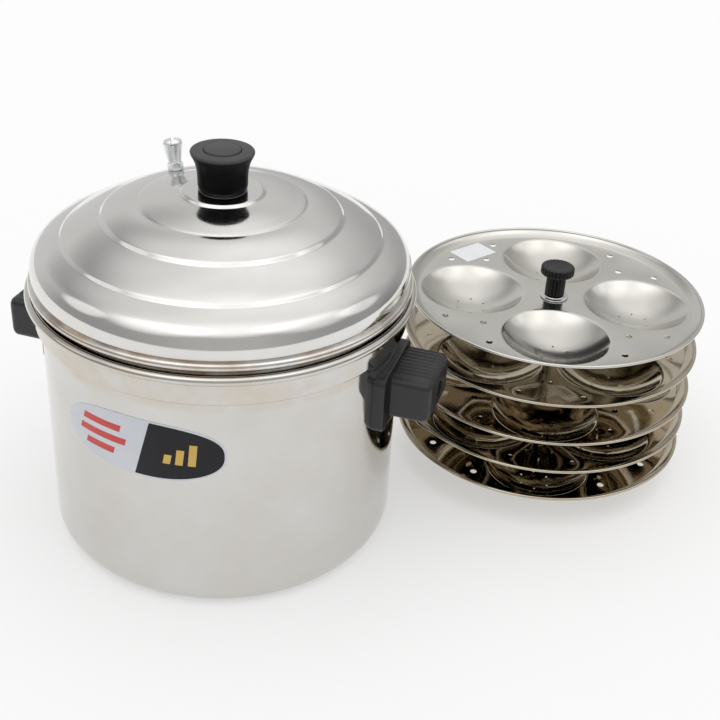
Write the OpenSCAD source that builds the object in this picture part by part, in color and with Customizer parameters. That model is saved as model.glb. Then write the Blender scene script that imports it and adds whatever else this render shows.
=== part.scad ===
/* [Pot] */
// Outer radius of the pot's body
pot_r = 107.8; // [98:0.2:118]
// Sheet thickness of the pot
pot_sheet = 1; // [0.8:0.1:1.2]
// Outside radius of the pot's bottom corner
pot_corner = 12; // [8:0.5:18]
// Height of the inside ledge that the lid sits on
ledge_z = 144.5; // [142:0.5:160]
// How far the neck stands out from the body
neck_step = 3.8; // [3.6:0.1:4.6]
// Height from the ledge to the middle of the rolled rim
neck_h = 16.5; // [14:0.5:22]
// Radius of the rolled rim, to the middle of its sheet
rim_roll = 2.2; // [1.8:0.1:2.8]

/* [Lid] */
// Sheet thickness of the lid
lid_sheet = 0.8; // [0.6:0.1:1]
// Play between the lid's skirt and the pot's neck
lid_play = 1; // [0.6:0.1:1.3]
// Height of the gap between the pot's rim and the lid's bead
lid_gap = 2; // [1:0.25:5]
// How far the lid's bead stands out from its skirt
lid_bead_out = 3.9; // [3.4:0.1:5]
// Height of the lid's bead
lid_bead_h = 5; // [4:0.25:6]
// Radius of the rounded shoulder of the dome
shoulder_round = 15; // [12:0.5:18]
// Outer radius of the first ring from the outside
ring_1_r = 104.2; // [101:0.1:105]
// Outer radius of the second ring
ring_2_r = 93.8; // [85:0.1:97]
// Outer radius of the third ring
ring_3_r = 70.5; // [65:0.1:78]
// Outer radius of the innermost ring
ring_4_r = 48.6; // [40:0.1:58]
// Height of the first ring over the top of the lid's bead
ring_1_z = 17.6; // [16:0.1:18.5]
// Rise from the first ring to the second
ring_2_rise = 4.9; // [4:0.1:6]
// Rise from the second ring to the third
ring_3_rise = 12; // [10:0.1:14]
// Rise from the third ring to the innermost
ring_4_rise = 7.8; // [6.5:0.1:9]
// Outer radius of the raised middle that the knob stands on
ring_5_r = 24.5; // [20:0.1:28]
// Rise from the innermost ring to the raised middle
ring_5_rise = 5.4; // [4:0.1:6.5]
// Height of each ring's little step
ring_step = 1.8; // [1:0.1:2.4]

/* [Lid knob] */
// Radius of the knob's flared top
knob_top_r = 18.5; // [15:0.1:22]
// Radius of the knob's waist
knob_waist_r = 14.5; // [12:0.1:15]
// Height of the knob without its ferrule
knob_h = 22.5; // [20:0.5:30]
// Radius of the cap set into the knob's top
knob_cap_r = 10.6; // [8:0.1:11.5]
// Height of the steel ferrule under the knob
ferrule_h = 1.2; // [1:0.1:3]
// Radius of the knob's screw
knob_screw_r = 2.5; // [2:0.1:3]

/* [Steam vent] */
// Distance of the vent from the lid's middle
vent_r = 55.5; // [54:0.5:60]
// Direction of the vent, seen from above
vent_angle = 120.5; // [90:0.5:150]
// Height of the vent's nozzle
vent_h = 19; // [14:0.5:24]
// Radius of the nozzle at its foot
vent_foot_r = 3.7; // [3.2:0.1:4.2]
// Radius of the nozzle at its top
vent_top_r = 6; // [4.5:0.1:6.5]
// Radius of the steam passage
vent_bore_r = 1.5; // [1:0.1:1.8]
// Width of the slot across the nozzle's top
vent_slot = 1.8; // [1.2:0.1:2.4]
// Radius of the hexagonal base, to its corners
vent_base_r = 4.8; // [4.4:0.1:5.4]
// Height of the hexagonal base
vent_base_h = 4.6; // [3:0.1:6]

/* [Handles] */
// Direction of the right handle, seen from above
handle_angle = -23.5; // [-45:0.5:0]
// Length of the grip from its groove to its outer end
grip_l = 25; // [21:0.2:34]
// Width of the grip
grip_w = 43.6; // [36:0.2:46]
// Height of the grip
grip_h = 26.4; // [22:0.2:30]
// Height of the middle of the grip
grip_z = 117.6; // [112:0.2:119]
// Number of grooves along the top of the grip
groove_count = 9; // [4:1:10]
// Distance between grooves
groove_pitch = 3.7; // [3:0.1:3.9]
// Thickness of the collar at its middle
collar_t = 3.6; // [3:0.1:5]
// How far the collar reaches past each side of the grip
collar_side = 6.2; // [5:0.2:8]
// How far the collar reaches over the grip
collar_over = 1.2; // [0.8:0.2:4]
// How far the collar reaches under the grip
collar_under = 8.9; // [6:0.1:11]
// Radius of the handle's screw
handle_screw_r = 2.5; // [2:0.1:3]

/* [Rack] */
// Place of the rack's rod beside the pot, to the right
rack_x = 222.1; // [222:0.1:260]
// Place of the rack's rod beside the pot, to the back
rack_y = 55.9; // [50:0.1:80]
// Radius of the rod
rod_r = 3; // [2.5:0.1:3.5]
// Height of the lowest plate over the surface
rack_lift = 19; // [18.5:0.1:26]
// Space between the three lower plates, from plate to plate
low_pitch = 21.7; // [19:0.1:26]
// Space between the three upper plates, from plate to plate
high_pitch = 28.6; // [24:0.1:32]
// Outside radius of the spacer tubes
spacer_r = 5.5; // [4.5:0.1:7]
// Radius of the rack's foot
foot_r = 30; // [20:1:34]

/* [Plates] */
// Outer radius of a plate
plate_r = 99.5; // [98:0.1:101]
// Sheet thickness of a plate
plate_sheet = 0.6; // [0.5:0.1:0.8]
// Width of the plate's flared lip
lip_w = 6; // [5:0.1:6.6]
// Rise of the plate's flared lip
lip_h = 4.2; // [3:0.1:5.5]
// Radius of a mould's mouth
mould_r = 36; // [32:0.1:36.5]
// Depth of a mould
mould_depth = 14.5; // [10:0.1:14.8]
// Distance of a mould's middle from the rod
mould_place = 55.2; // [54.6:0.1:56]
// Direction of the first mould on the upper plate
mould_angle = -12.2; // [-45:0.1:45]
// Radius of a steam hole
steam_hole_r = 2.2; // [1.5:0.1:2.5]
// Distance of the inner steam holes from the rod
inner_hole_place = 66; // [64:0.5:69]
// Distance of the outer steam holes from the rod
outer_hole_place = 83; // [81:0.5:86]
// Angle between an outer steam hole and the inner one beside it
outer_hole_angle = 14.3; // [12:0.1:16]
// Radius of a vent hole in a mould
mould_vent_r = 0.7; // [0.5:0.1:1]
// Number of vent holes in a mould
mould_vent_count = 6; // [3:1:8]
// Radius of the ring of vent holes in a mould
mould_vent_place = 10; // [6:0.5:14]

/* [Rack knob] */
// Radius of the ribbed head
rack_head_r = 11.2; // [9:0.1:14]
// Height of the ribbed head
rack_head_h = 6; // [5:0.1:9]
// Radius of the ribbed stem
rack_stem_r = 6.5; // [5.8:0.1:7.5]
// Height of the ribbed stem
rack_stem_h = 15; // [13:0.5:20]
// Number of ribs round the head
head_ribs = 26; // [16:1:30]
// Number of ribs round the stem
stem_ribs = 18; // [12:1:20]
// Length of rod that is screwed into the knob
thread_grip = 10; // [8:0.5:11]

/* [Labels] */
// Direction of the label on the pot
label_angle = -116.5; // [-125:0.5:-85]
// Width of the label along the pot
label_w = 98; // [60:1:104]
// Height of the label
label_h = 38; // [30:1:44]
// Height of the middle of the label
label_z = 109; // [80:1:112]
// Length of the sticker on the upper plate
sticker_w = 28; // [20:1:29]
// Bare edge between the sticker and the holes and lip beside it
sticker_edge = 2.3; // [1.8:0.1:6]

/* [Hidden] */

// Gap between pieces that touch along a curved face
snug = 0.1;
// Gap between pieces that turn or lift on each other
free_gap = 0.2;
// Radial play of a screw in its hole
screw_play = 0.4;
// Radial play of a turning piece on the rod
turn_play = 0.08;
// Radius of the small bends in pressed sheet
bend = 1.2;
// Far enough to cut right through a sheet
through = 4;
// Number of flats round a drawn circle
$fn = 96;

steel = [0.78, 0.77, 0.74];
bright_steel = [0.86, 0.86, 0.85];
black = [0.09, 0.09, 0.1];
brass = [0.78, 0.62, 0.32];
paper = [0.95, 0.95, 0.95];

// Middle of the sheet in the pot's body and in its neck
body_mid = pot_r - pot_sheet / 2;
neck_r = pot_r + neck_step;
neck_mid = neck_r - pot_sheet / 2;
rim_z = ledge_z + neck_h;
rim_top = rim_z + rim_roll + pot_sheet / 2;
ledge_top = ledge_z + pot_sheet / 2;

// The lid's skirt stands on the ledge and its bead hangs over the rim
skirt_r = neck_r - pot_sheet - lid_play;
skirt_mid = skirt_r - lid_sheet / 2;
skirt_z = ledge_top + free_gap;
bead_low = rim_top + lid_gap;
bead_mid = bead_low + lid_bead_h / 2;
bead_top = bead_low + lid_bead_h;
bead_roll = (lid_bead_h - lid_sheet) / 2;
bead_r = skirt_r + lid_bead_out - lid_bead_h / 2;

// Each ring of the dome is a little step from its outer to its inner foot
step_in = ring_step * 0.85;
ring_1 = [ring_1_r, bead_top + ring_1_z];
ring_2 = [ring_2_r, ring_1[1] + ring_2_rise];
ring_3 = [ring_3_r, ring_2[1] + ring_3_rise];
ring_4 = [ring_4_r, ring_3[1] + ring_4_rise];
ring_5 = [ring_5_r, ring_4[1] + ring_5_rise];
function inner_foot(ring, share) = ring + share * [-step_in, ring_step];
ring_1_in = inner_foot(ring_1, 0.5);
ring_2_in = inner_foot(ring_2, 1);
ring_3_in = inner_foot(ring_3, 1.3);
ring_4_in = inner_foot(ring_4, 0.5);
ring_5_in = inner_foot(ring_5, 1);
crown_z = ring_5_in[1];
band_bow = 0.9;

// Points of an arc, counted from angle a0 to angle a1
function arc(middle, r, a0, a1, count = 8) =
    [for (i = [0:count]) let (a = a0 + (a1 - a0) * i / count) middle + r * [cos(a), sin(a)]];

// A shallow arc that bows upwards from p to q by the height s
function bow_radius(p, q, s) = (norm(q - p) * norm(q - p) / 4 + s * s) / (2 * s);
function bow_middle(p, q, s) =
    let (d = (q - p) / norm(q - p)) (p + q) / 2 - (bow_radius(p, q, s) - s) * [d[1], -d[0]];
function bow(p, q, s, count = 6) =
    let (c = bow_middle(p, q, s), from = p - c, to = q - c)
    arc(c, bow_radius(p, q, s), atan2(from[1], from[0]), atan2(to[1], to[0]), count);

// A sheet's outline: its middle line moved to both sides by half the thickness
function unit(v) = v / norm(v);
function side(line, d) = [
    for (i = [0:len(line) - 1])
    let (
        before = i > 0 ? unit(line[i] - line[i - 1]) : unit(line[1] - line[0]),
        after = i < len(line) - 1 ? unit(line[i + 1] - line[i]) : before,
        way = unit(before + after)
    )
    line[i] + d / (way * before) * [-way[1], way[0]]
];
function backwards(line) = [for (i = [len(line) - 1:-1:0]) line[i]];

module sheet_profile(line, t) {
    polygon(concat(side(line, t / 2), backwards(side(line, -t / 2))));
}

module rounded_rectangle(w, h, r) {
    x = w / 2 - r;
    y = h / 2 - r;
    polygon(concat(
        arc([x, y], r, 0, 90, 6),
        arc([-x, y], r, 90, 180, 6),
        arc([-x, -y], r, 180, 270, 6),
        arc([x, -y], r, 270, 360, 6)
    ));
}

// Middle line of the pot's sheet, from the middle of the bottom to the end of the rolled rim
pot_line = concat(
    [[0, pot_sheet / 2]],
    arc([pot_r - pot_corner, pot_corner], pot_corner - pot_sheet / 2, -90, 0, 10),
    arc([body_mid + bend, ledge_z - bend], bend, 180, 90, 4),
    arc([neck_mid - bend, ledge_z + bend], bend, -90, 0, 4),
    arc([neck_mid + rim_roll, rim_z], rim_roll, 180, -100, 14)
);

module pot_shell() {
    color(steel)
    rotate_extrude()
    sheet_profile(pot_line, pot_sheet);
}

// The label lies on the pot's wall, a thin curved plate with round ends
label_t = 0.25;
label_round = 14;

module body_label() {
    color(paper)
    intersection() {
        difference() {
            cylinder(h = rim_z, r = pot_r + snug / 2 + label_t);
            translate([0, 0, -1])
            cylinder(h = rim_z + 2, r = pot_r + snug / 2);
        }
        rotate([0, 0, label_angle])
        translate([0, 0, label_z])
        rotate([90, 0, 90])
        linear_extrude(pot_r + through)
        rounded_rectangle(label_w, label_h, label_round);
    }
}

// The handle stands along +X: its collar lies on the pot's wall, over a bracket with a screw boss
grip_low = grip_z - grip_h / 2;
grip_top = grip_z + grip_h / 2;
grip_round = 4;
collar_in = pot_r + snug;
collar_out = pot_r + collar_t;
collar_low = grip_low - collar_under;
collar_top = grip_top + collar_over;
groove_w = 1;
grip_reach = collar_out + groove_w + grip_l;
bracket_t = 1.2;
bracket_r = 9;
bracket_face = pot_r + snug / 2 + bracket_t;
boss_r = 5;
boss_x = pot_r + 11;
screw_head_r = handle_screw_r * 1.9;
screw_head_h = handle_screw_r * 1.1;
screw_seat_x = grip_reach - 7;

module facing_out() {
    rotate([90, 0, 90])
    children();
}

// A round rod that points outwards at the height of the grip's middle
module rod_out(x_in, x_out, r) {
    translate([x_in, 0, grip_z])
    rotate([0, 90, 0])
    cylinder(h = x_out - x_in, r = r, $fn = 48);
}

module bracket_shape() {
    difference() {
        union() {
            intersection() {
                difference() {
                    cylinder(h = rim_z, r = bracket_face);
                    translate([0, 0, -1])
                    cylinder(h = rim_z + 2, r = pot_r + snug / 2);
                }
                rod_out(pot_r / 2, bracket_face + 1, bracket_r);
            }
            rod_out(bracket_face - bracket_t / 2, boss_x, boss_r);
        }
        rod_out(bracket_face, boss_x + 1, handle_screw_r + snug / 2);
    }
}

// The collar's back follows the round wall, and its front is flat
module handle_collar() {
    collar_round = 5;
    difference() {
        facing_out()
        translate([0, (collar_low + collar_top) / 2])
        linear_extrude(collar_out)
        rounded_rectangle(grip_w + 2 * collar_side, collar_top - collar_low, collar_round);
        cylinder(h = rim_z, r = collar_in);
    }
}

// The narrower neck in the groove between the collar and the grip
module handle_neck() {
    facing_out()
    translate([0, grip_z, collar_in + 2])
    linear_extrude(collar_t + 2)
    rounded_rectangle(grip_w - 3, grip_h - 3, 4);
}

module handle_grip() {
    x_in = collar_out + groove_w;
    x_out = grip_reach - grip_round;
    y = grip_w / 2 - grip_round;
    z = grip_h / 2 - grip_round;
    translate([0, 0, grip_z])
    hull() {
        for (sy = [-1, 1], sz = [-1, 1]) {
            translate([x_in, sy * y, sz * z])
            rotate([0, 90, 0])
            cylinder(h = 1, r = grip_round, $fn = 28);
            translate([x_out, sy * y, sz * z])
            sphere(grip_round, $fn = 28);
        }
    }
}

// The grooves run outwards along the back part of the grip's top
module grip_grooves() {
    groove_r = 1.1;
    back_edge = grip_w / 2 - grip_round;
    for (i = [0:groove_count - 1]) {
        translate([collar_out + groove_w - 1, back_edge - i * groove_pitch, grip_top + groove_r * 0.35])
        rotate([0, 90, 0])
        cylinder(h = grip_reach, r = groove_r, $fn = 16);
    }
}

module handle_shape() {
    difference() {
        union() {
            handle_collar();
            handle_neck();
            handle_grip();
        }
        grip_grooves();
        rod_out(pot_r / 2, bracket_face + free_gap, bracket_r + free_gap);
        rod_out(pot_r / 2, boss_x + free_gap, boss_r + free_gap);
        rod_out(pot_r, grip_reach + 1, handle_screw_r + screw_play);
        rod_out(screw_seat_x, grip_reach + 1, screw_head_r + screw_play);
    }
}

// A pan-head screw that ends inside the bracket's boss
module screw_shape() {
    head_x = screw_seat_x + snug / 2;
    difference() {
        union() {
            rod_out(bracket_face + 1.5, head_x + 0.1, handle_screw_r);
            rod_out(head_x, head_x + screw_head_h, screw_head_r);
        }
        translate([0, 0, grip_z])
        rotate([0, 90, 0])
        cross_recess(head_x + screw_head_h, screw_head_r);
    }
}

// A cross-shaped recess, cut down from the height z
module cross_recess(z, head_r) {
    recess_w = head_r * 0.3;
    for (a = [0, 90]) {
        translate([0, 0, z])
        rotate([0, 0, a])
        cube([head_r * 1.2, recess_w, head_r * 0.6], center = true);
    }
}

module on_right() {
    rotate([0, 0, handle_angle])
    children();
}

module on_left() {
    rotate([0, 0, handle_angle + 180])
    children();
}

module handle_right() {
    color(black) on_right() handle_shape();
}

module handle_left() {
    color(black) on_left() mirror([0, 1, 0]) handle_shape();
}

module handle_bracket_right() {
    color(steel) on_right() bracket_shape();
}

module handle_bracket_left() {
    color(steel) on_left() bracket_shape();
}

module handle_screw_right() {
    color(bright_steel) on_right() screw_shape();
}

module handle_screw_left() {
    color(bright_steel) on_left() screw_shape();
}

// Middle line of the lid's sheet, from the foot of the skirt to the middle of the dome
shoulder_r = bead_r + lid_bead_h / 2 - 2.2 - shoulder_round;
shoulder_end = asin((ring_1[1] - shoulder_z()) / shoulder_round);
function shoulder_z() = bead_top + 5.3;
lid_line = concat(
    [[skirt_mid, skirt_z]],
    arc([skirt_mid + bend, bead_mid - bead_roll - bend], bend, 180, 90, 3),
    arc([bead_r, bead_mid], bead_roll, -90, 110, 10),
    arc([shoulder_r, shoulder_z()], shoulder_round, -16, shoulder_end, 9),
    bow(ring_1_in, ring_2, band_bow / 3, 4),
    bow(ring_2_in, ring_3, band_bow, 6),
    bow(ring_3_in, ring_4, band_bow, 6),
    bow(ring_4_in, ring_5, band_bow / 2, 6),
    [ring_5_in, [0, crown_z]]
);

// The vent stands square to the band between the third and the innermost ring
band_c = bow_middle(ring_3_in, ring_4, band_bow);
band_r = bow_radius(ring_3_in, ring_4, band_bow);
vent_tilt = asin((vent_r - band_c[0]) / band_r);
vent_z = band_c[1] + band_r * cos(vent_tilt);

module at_vent() {
    rotate([0, 0, vent_angle])
    translate([vent_r, 0, vent_z])
    rotate([0, vent_tilt, 0])
    children();
}

vent_shank_r = vent_foot_r - 0.6;
knob_hole_r = knob_screw_r + screw_play;

module lid_shell() {
    color(steel)
    difference() {
        rotate_extrude()
        sheet_profile(lid_line, lid_sheet);
        translate([0, 0, crown_z - through])
        cylinder(h = 2 * through, r = knob_hole_r, $fn = 48);
        at_vent()
        translate([0, 0, -through])
        cylinder(h = 2 * through, r = vent_shank_r + screw_play, $fn = 48);
    }
}

// The knob stands on a bright ferrule on the raised middle of the lid
ferrule_z = crown_z + lid_sheet / 2 + snug;
knob_z = ferrule_z + ferrule_h + snug / 2;
knob_top_z = knob_z + knob_h;
cap_depth = 4;
head_room = knob_screw_r * 1.6;
nut_pocket_z = knob_top_z - cap_depth - head_room;

module knob_ferrule() {
    color(bright_steel)
    translate([0, 0, ferrule_z])
    difference() {
        union() {
            cylinder(h = ferrule_h, r = knob_waist_r - 1.6);
            cylinder(h = ferrule_h / 2, r1 = knob_waist_r - 0.3, r2 = knob_waist_r - 1);
        }
        translate([0, 0, -1])
        cylinder(h = ferrule_h + 2, r = knob_hole_r, $fn = 48);
    }
}

// The knob's outline: a round foot, a nearly straight waist and a flared head
module lid_knob() {
    foot_r = knob_waist_r - 0.2;
    waist_z = 2;
    head_edge = knob_h - 2.4;
    color(black)
    translate([0, 0, knob_z])
    difference() {
        rotate_extrude()
        polygon(concat(
            [[0, 0]],
            arc([foot_r - 0.8, 0.8], 0.8, -90, 0, 3),
            [for (i = [0:6]) let (s = i / 6)
                [knob_waist_r + (knob_top_r - knob_waist_r - 0.6) * s * s * s,
                 waist_z + (head_edge - waist_z - 0.8) * s]],
            arc([knob_top_r - 1.3, head_edge + 0.7], 1.3, -20, 70, 5),
            [[knob_cap_r + 1.2, knob_h]],
            [[0, knob_h]]
        ));
        translate([0, 0, -1])
        cylinder(h = knob_h + 2, r = knob_hole_r, $fn = 48);
        translate([0, 0, knob_h - cap_depth])
        cylinder(h = cap_depth + 1, r = knob_cap_r + snug);
        translate([0, 0, knob_h - cap_depth - head_room])
        cylinder(h = head_room + 1, r = knob_screw_r * 2.1, $fn = 6);
    }
}

module knob_cap() {
    color(black)
    translate([0, 0, knob_top_z - cap_depth + snug])
    rotate_extrude()
    polygon(concat(
        [[0, 0], [knob_cap_r, 0]],
        arc([knob_cap_r - 0.8, cap_depth - 0.3], 0.8, 0, 90, 4),
        [[0, cap_depth + 0.9]]
    ));
}

// A screw from under the lid, with its nut part in the knob's pocket
module knob_screw() {
    head_z = crown_z - lid_sheet / 2 - snug - washer_t - snug;
    head_h = knob_screw_r * 1.2;
    nut_z = nut_pocket_z + snug;
    nut_h = head_room - 3 * snug;
    color(bright_steel)
    difference() {
        union() {
            translate([0, 0, head_z - head_h])
            cylinder(h = head_h, r = knob_screw_r * 1.9, $fn = 48);
            translate([0, 0, head_z - 0.01])
            cylinder(h = nut_z + nut_h - head_z, r = knob_screw_r, $fn = 48);
            translate([0, 0, nut_z])
            cylinder(h = nut_h, r = knob_screw_r * 2, $fn = 6);
        }
        cross_recess(head_z - head_h, knob_screw_r * 1.9);
    }
}

washer_t = 1.2;

module knob_washer() {
    color(bright_steel)
    translate([0, 0, crown_z - lid_sheet / 2 - snug - washer_t])
    difference() {
        cylinder(h = washer_t, r = knob_screw_r * 3.2);
        translate([0, 0, -1])
        cylinder(h = washer_t + 2, r = knob_hole_r - 0.1, $fn = 48);
    }
}

// The vent is made from one bar: shank, hexagonal base and a slotted nozzle that widens upwards
vent_nut_h = 3;
// The nut's corners stay clear of the round underside of the lid
vent_nut_gap = 0.5;
vent_shank_h = lid_sheet + vent_nut_h + 2;

module steam_vent() {
    base_z = lid_sheet / 2 + snug;
    dome = vent_top_r * 0.55;
    straight = vent_h - dome;
    color(bright_steel)
    at_vent()
    difference() {
        union() {
            translate([0, 0, base_z - vent_shank_h])
            cylinder(h = vent_shank_h + 0.5, r = vent_shank_r, $fn = 48);
            translate([0, 0, base_z])
            rotate([0, 0, 10])
            cylinder(h = vent_base_h, r = vent_base_r, $fn = 6);
            translate([0, 0, base_z])
            rotate_extrude()
            polygon(concat(
                [[0, vent_base_h / 2], [vent_foot_r, vent_base_h / 2], [vent_foot_r, vent_base_h]],
                arc([vent_top_r - dome, straight], dome, 0, 90, 6),
                [[0, vent_h]]
            ));
        }
        translate([0, 0, -vent_shank_h - 1])
        cylinder(h = vent_h + 2 * vent_shank_h, r = vent_bore_r, $fn = 48);
        rotate([0, 0, 60])
        translate([-vent_slot / 2, -vent_top_r - 1, base_z + vent_h - dome - 1])
        cube([vent_slot, 2 * vent_top_r + 2, vent_h]);
    }
}

module vent_nut() {
    color(bright_steel)
    at_vent()
    translate([0, 0, -lid_sheet / 2 - vent_nut_gap - vent_nut_h])
    difference() {
        cylinder(h = vent_nut_h, r = vent_shank_r + 2.6, $fn = 6);
        translate([0, 0, -1])
        cylinder(h = vent_nut_h + 2, r = vent_shank_r + snug / 2, $fn = 48);
    }
}

// The rack stands beside the pot: foot, rod, and a stack of plates and spacers
plate_z = [
    rack_lift + 2 * low_pitch + 2 * high_pitch,
    rack_lift + 2 * low_pitch + high_pitch,
    rack_lift + 2 * low_pitch,
    rack_lift + low_pitch,
    rack_lift
];
plate_hole_r = rod_r + turn_play;
clamp_z = plate_z[0] + plate_sheet / 2 + free_gap;
clamp_t = 1.8;
stack_top = clamp_z + clamp_t + free_gap;
rod_top = stack_top + thread_grip;

module at_rack(z = 0) {
    translate([rack_x, rack_y, z])
    children();
}

// One mould: a round bowl whose mouth is rounded over into the plate
mould_lip = 3;
bowl_r = (mould_r * mould_r + mould_depth * mould_depth) / (2 * mould_depth) - mould_lip;
bowl_h = bowl_r + plate_sheet / 2 - mould_depth;
mouth_turn = asin(mould_r / (bowl_r + mould_lip));

// Cross-section under the sheet's face that lies d above its middle
module mould_section(d) {
    lip = mould_lip + d;
    polygon(concat(
        [[0, plate_sheet / 2 + 1], [0, bowl_h - bowl_r + d]],
        arc([0, bowl_h], bowl_r - d, -90, mouth_turn - 90, 9),
        arc([mould_r, plate_sheet / 2 - mould_lip], lip, mouth_turn + 90, 90, 5),
        [[mould_r, plate_sheet / 2 + 1]]
    ));
}

// Middle line of the plate's sheet, out to the small roll along its edge
hem = 0.7;
lip_out = plate_r - 2 * hem - plate_sheet / 2;
lip_way = atan2(lip_h, lip_w);
plate_line = concat(
    [[plate_hole_r, 0], [lip_out - lip_w, 0]],
    [[lip_out - 0.2, lip_h - 0.2]],
    arc([lip_out + hem, lip_h], hem, 150, -90, 8)
);

module plate_shape(turn) {
    color(bright_steel)
    difference() {
        union() {
            rotate_extrude()
            sheet_profile(plate_line, plate_sheet);
            for (a = [0:90:270]) {
                rotate([0, 0, a + turn])
                translate([mould_place, 0, 0])
                rotate_extrude()
                difference() {
                    mould_section(-plate_sheet);
                    translate([0, plate_sheet / 2])
                    square([mould_r + 1, 2]);
                }
            }
        }
        for (a = [0:90:270]) {
            rotate([0, 0, a + turn]) {
                translate([mould_place, 0, 0]) {
                    rotate_extrude()
                    mould_section(0);
                    mould_vents();
                }
                rotate([0, 0, 45])
                steam_holes();
            }
        }
    }
}

module mould_vents() {
    for (i = [0:mould_vent_count - 1]) {
        rotate([0, 0, i * 360 / mould_vent_count + 30])
        translate([mould_vent_place, 0, -mould_depth - through])
        cylinder(h = mould_depth + 2 * through, r = mould_vent_r, $fn = 20);
    }
}

module steam_holes() {
    places = [
        [inner_hole_place, 0],
        [outer_hole_place, -outer_hole_angle],
        [outer_hole_place, outer_hole_angle]
    ];
    for (place = places) {
        rotate([0, 0, place[1]])
        translate([place[0], 0, -through])
        cylinder(h = 2 * through, r = steam_hole_r, $fn = 32);
    }
}

// Every other plate is turned by half the space between moulds
module plate_in_stack(i) {
    at_rack(plate_z[i])
    plate_shape(mould_angle + (i % 2) * 45);
}

module plate_1() {
    plate_in_stack(0);
}

module plate_2() {
    plate_in_stack(1);
}

module plate_3() {
    plate_in_stack(2);
}

module plate_4() {
    plate_in_stack(3);
}

module plate_5() {
    plate_in_stack(4);
}

// A spacer fills the space under plate i, with a little play at each end
module spacer_under(i) {
    low = plate_z[i + 1] + plate_sheet / 2 + free_gap;
    high = plate_z[i] - plate_sheet / 2 - free_gap;
    color(bright_steel)
    at_rack(low)
    difference() {
        cylinder(h = high - low, r = spacer_r, $fn = 64);
        translate([0, 0, -1])
        cylinder(h = high - low + 2, r = plate_hole_r, $fn = 64);
    }
}

module spacer_1() {
    spacer_under(0);
}

module spacer_2() {
    spacer_under(1);
}

module spacer_3() {
    spacer_under(2);
}

module spacer_4() {
    spacer_under(3);
}

module rack_rod() {
    rod_low = 1;
    color(bright_steel)
    at_rack(rod_low)
    union() {
        cylinder(h = rod_top - rod_low - 1, r = rod_r, $fn = 64);
        translate([0, 0, rod_top - rod_low - 1])
        cylinder(h = 1, r1 = rod_r, r2 = rod_r - 0.8, $fn = 64);
    }
}

module rack_foot() {
    foot_t = 2.6;
    hub_r = spacer_r + 1.5;
    foot_h = plate_z[4] - plate_sheet / 2 - free_gap;
    color(bright_steel)
    at_rack()
    difference() {
        rotate_extrude()
        polygon(concat(
            [[0, 0], [foot_r, 0]],
            arc([foot_r - 1, foot_t - 1], 1, 0, 90, 3),
            [[hub_r + 2, foot_t], [hub_r, foot_t + 2], [hub_r, foot_h], [0, foot_h]]
        ));
        translate([0, 0, 1 - snug])
        cylinder(h = foot_h, r = rod_r + snug / 2, $fn = 64);
    }
}

module plate_sticker() {
    sticker_t = 0.2;
    room_in = inner_hole_place + steam_hole_r;
    room_out = lip_out - lip_w;
    sticker_d = room_out - room_in - 2 * sticker_edge;
    sticker_place = (room_in + room_out) / 2;
    color(paper)
    at_rack(plate_z[0] + plate_sheet / 2 + sticker_t / 2)
    rotate([0, 0, mould_angle + 135])
    translate([sticker_place, 0, 0])
    cube([sticker_d, sticker_w, sticker_t], center = true);
}

module clamp_washer() {
    color(bright_steel)
    at_rack(clamp_z)
    difference() {
        union() {
            cylinder(h = clamp_t, r = rack_stem_r + 1);
            cylinder(h = clamp_t / 2, r = rack_stem_r + 3);
        }
        translate([0, 0, -1])
        cylinder(h = clamp_t + 2, r = plate_hole_r, $fn = 64);
    }
}

// Rounds of small ribs along the side of a cylinder
module ribbed(r, h, count, depth) {
    difference() {
        cylinder(h = h, r = r);
        for (i = [0:count - 1]) {
            rotate([0, 0, i * 360 / count])
            translate([r + depth * 0.2, 0, -1])
            cylinder(h = h + 2, r = depth, $fn = 16);
        }
    }
}

insert_r = rod_r + 1;
insert_h = thread_grip + 1.5;

module rack_knob() {
    crown = 1;
    color(black)
    at_rack(stack_top)
    difference() {
        union() {
            ribbed(rack_stem_r, rack_stem_h, stem_ribs, 0.7);
            translate([0, 0, rack_stem_h - 0.01])
            ribbed(rack_head_r, rack_head_h - crown, head_ribs, 0.8);
            translate([0, 0, rack_stem_h + rack_head_h - crown - 0.02])
            cylinder(h = crown, r1 = rack_head_r - 1, r2 = rack_head_r - 2.6);
        }
        translate([0, 0, -1])
        cylinder(h = insert_h + 1 + snug, r = insert_r + snug, $fn = 64);
    }
}

module knob_insert() {
    color(brass)
    at_rack(stack_top + snug)
    difference() {
        cylinder(h = insert_h - snug, r = insert_r, $fn = 64);
        translate([0, 0, -1])
        cylinder(h = thread_grip + 1.6, r = plate_hole_r, $fn = 64);
    }
}

pot_shell();
body_label();
handle_bracket_right();
handle_right();
handle_screw_right();
handle_bracket_left();
handle_left();
handle_screw_left();
lid_shell();
knob_ferrule();
lid_knob();
knob_cap();
knob_screw();
knob_washer();
steam_vent();
vent_nut();
rack_rod();
rack_foot();
plate_1();
plate_2();
plate_3();
plate_4();
plate_5();
spacer_1();
spacer_2();
spacer_3();
spacer_4();
plate_sticker();
clamp_washer();
rack_knob();
knob_insert();
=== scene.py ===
"""The looks of an idli steamer: a pot with its lid, and a rack of five idli plates beside it.

Sizes are in millimetres and become metres when a mesh is made. The pot's axis is Z and its bottom is at zero.
Shapes of revolution are outlines of (radius, height) points. Rack pieces are placed from the CAD parts'
boxes.
"""
import math

import bmesh
import bpy
import numpy as np
from mathutils import Matrix, Vector, geometry


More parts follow.
